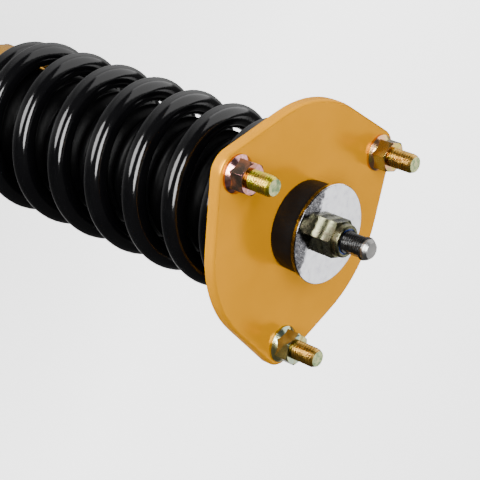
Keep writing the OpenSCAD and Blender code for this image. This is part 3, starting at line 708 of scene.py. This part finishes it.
# ---------- solids whose hard edges are rounded ----------
def flange_nuts():
    """Each nut has its own passivation, and its upright facets a darker copy of it, which is painted shade.
    """
    upright, facet_area = 0.3, 3 * MM ** 2
    nuts = dressed("flange_nuts", "rod_and_top", 0.22, 25.0, "pink_zinc")
    for name in ("olive_zinc", "yellow_zinc", "brown_facets", "olive_facets", "amber_facets"):
        nuts.data.materials.append(MAT[name])
    for p in nuts.data.polygons:
        nut = 0 if p.center.y < -30 * MM else (1 if p.center.x > 0 else 2)
        # upright facets take the darker copy: painted shade
        is_facet = abs(p.normal.z) < upright and p.area > facet_area
        p.material_index = nut + (3 if is_facet else 0)


def rod_nut():
    """The nut with a groove where the photograph has the line between two tiers of hexagon."""
    nut = dressed("rod_nut", "rod_and_top", 0.25, 28.0, "grey_zinc")
    groove(nut.data, ROD_NUT_FOOT + 3.4, width=0.7, depth=0.8, outside=8.0)


dressed("top_plate", "rod_and_top", 0.45, 25.0, "gold_paint")
flange_nuts()
rod_nut()
dressed("top_washer", "rod_and_top", 0.2, 30.0, "bright_zinc")
dressed("upper_spring_seat", "rod_and_top", 0.3, 30.0, "black_satin")
dressed("perch_lock_ring", "perch_ring", 0.35, 30.0, "gold_anodised")
dressed("spring_perch", "perch", 0.35, 30.0, "gold_anodised")
dressed("tube_lock_ring", "tube_ring", 0.35, 30.0, "gold_anodised")
dressed("lower_tube", "bracket", 0.3, 35.0, "black_satin")
dressed("lower_fork", "bracket", 0.5, 35.0, "black_satin")
dressed("gland_cap", "damper_body", 0.3, 30.0, "dark_steel")


# ---------- weld between the tube's foot and the fork ----------
def weld():
    """Two beads along the tube's foot, one towards each ear of the fork."""
    path_r, height, bead_r = 23.6, 46.9, 2.2
    half = math.radians(58)
    sides, n = 12, 120
    verts, faces = [], []
    for toward in (0, math.pi):
        first = len(verts)
        for j in range(n + 1):
            a = toward - half + 2 * half * j / n
            ripple = 1.0 + 0.07 * math.sin(j * 1.05) + 0.04 * math.sin(j * 0.37 + 1)
            r = bead_r * ripple * min(1.0, 0.35 + min(j, n - j) / 6)
            for i in range(sides):
                s = TURN * i / sides
                out = path_r + r * math.cos(s)
                verts.append((out * math.cos(a), out * math.sin(a), height + r * 0.8 * math.sin(s)))
        faces += bands(n + 1, sides, first)
        faces.append(tuple(range(first, first + sides)))
        faces.append(tuple(range(first + n * sides, first + (n + 1) * sides)))
    add_object("foot_weld", mesh_from("foot_weld", verts, faces), "black_satin", "bracket", sharp=70.0)


weld()


# ---------- stage, in metres ----------
FLOOR_Z = -0.0215


def pale(name, grain):
    """The stage's near-white material, as its node tree, shader and coordinates."""
    nt, bsdf = material(name)
    place = coords(nt)
    colour = ramp(nt, noise(nt, place, grain, 2), [(0.3, 0.93), (0.7, 0.95)])
    nt.links.new(colour, bsdf.inputs["Base Color"])
    bsdf.inputs["Roughness"].default_value = 0.9
    bsdf.inputs["Emission Color"].default_value = (1, 1, 1, 1)
    return nt, bsdf, place


def staged(name, verts, faces, mat):
    """A part of the stage, which no reflection shows."""
    mesh = bpy.data.meshes.new(name)
    mesh.from_pydata(verts, [], faces)
    mesh.materials.append(MAT[mat])
    o = bpy.data.objects.new(name, mesh)
    bpy.context.scene.collection.objects.link(o)
    o.visible_glossy = False
    return o


def floor():
    """The floor, which glows, and more so behind the object."""
    half = 9.0
    near_glow, far_glow, glow_depth = 0.7, 2.6, 0.5
    nt, bsdf, place = pale("pale_floor", 3)
    axes = nt.nodes.new("ShaderNodeSeparateXYZ")
    nt.links.new(place, axes.inputs[0])
    glow = remap(nt, axes.outputs["Y"], near_glow, far_glow, 0.0, glow_depth)
    nt.links.new(glow, bsdf.inputs["Emission Strength"])
    corners = [(x * half, y * half, FLOOR_Z) for x, y in ((-1, -1), (1, -1), (1, 1), (-1, 1))]
    staged("floor", corners, [(0, 1, 2, 3)], "pale_floor")


def backdrop():
    """A pale wall with a lid round the floor, which only the camera sees."""
    n, radius, top = 64, 8.8, 12.0
    bsdf = pale("pale_backdrop", 0.3)[1]
    bsdf.inputs["Emission Strength"].default_value = 1.6
    verts = [(radius * math.cos(TURN * i / n), radius * math.sin(TURN * i / n), z)
             for z in (FLOOR_Z, top) for i in range(n)]
    wall = staged("backdrop", verts, bands(2, n) + [tuple(range(n, 2 * n))], "pale_backdrop")
    wall.visible_diffuse = False
    wall.visible_shadow = False


def soft_room():
    """Dim light from above the horizon, and below it greys that change with X.

    The greys stand in for what the photograph's gloss reflects.
    """
    above = (0.07, 0.07, 0.07, 1)
    room = bpy.data.worlds.new("soft_room")
    bpy.context.scene.world = room
    room.use_nodes = True
    nt = room.node_tree
    direction = nt.nodes.new("ShaderNodeTexCoord").outputs["Generated"]
    axes = nt.nodes.new("ShaderNodeSeparateXYZ")
    nt.links.new(direction, axes.inputs[0])
    below = ramp(nt, remap(nt, axes.outputs["X"], 0.0, 1.0, -1.0, 1.0), [
        (0.04, 1.0), (0.12, 0.62), (0.22, 0.26), (0.40, 0.25), (0.55, 0.45), (0.68, 0.15), (0.80, 0.05)])
    blend = nt.nodes.new("ShaderNodeMix")
    blend.data_type = "RGBA"
    nt.links.new(remap(nt, axes.outputs["Z"], 1.0, 0.0, -0.15, 0.05), blend.inputs[0])
    blend.inputs[6].default_value = above
    nt.links.new(below, blend.inputs[7])
    background = nt.nodes["Background"]
    nt.links.new(blend.outputs[2], background.inputs["Color"])
    background.inputs["Strength"].default_value = 1.7


def camera():
    """The photograph's view, fitted to the studs, plate, washer and bush."""
    right = Vector((-0.45279, 0.49936, 0.73866))
    up = Vector((-0.88351, -0.36278, -0.29633))
    back = Vector((0.12000, -0.78679, 0.60545))
    place = (0.12402, -0.69074, 0.94238)
    data = bpy.data.cameras.new("camera")
    data.sensor_width = 36.0
    data.lens = 131.76
    data.clip_start = 0.01
    cam = bpy.data.objects.new("camera", data)
    bpy.context.scene.collection.objects.link(cam)
    turned_to = Matrix((right, up, back)).transposed().to_4x4()
    cam.matrix_world = Matrix.Translation(place) @ turned_to
    bpy.context.scene.camera = cam


def area(name, at, to, size, watts, shape="ELLIPSE"):
    data = bpy.data.lights.new(name, "AREA")
    data.shape = shape
    data.size, data.size_y = size
    data.energy = watts
    lamp = bpy.data.objects.new(name, data)
    bpy.context.scene.collection.objects.link(lamp)
    lamp.location = at
    lamp.rotation_euler = (Vector(to) - Vector(at)).to_track_quat("-Z", "Y").to_euler()
    lamp.visible_camera = False


floor()
backdrop()
soft_room()
camera()
area("key", (0.07, -0.78, 1.245), (0, -0.04, 0.30), (1.05, 0.46), 37)
area("front_card", (0.024, -0.601, 0.268), (0, -0.04, 0.32), (0.52, 0.29), 7.5)
area("side_card", (-1.0, 0.2, 0.65), (0, 0, 0.33), (1.2, 1.0), 9, "RECTANGLE")
area("back_card", (-0.20, 1.05, 1.25), (0, 0, 0.44), (0.9, 0.6), 3, "RECTANGLE")
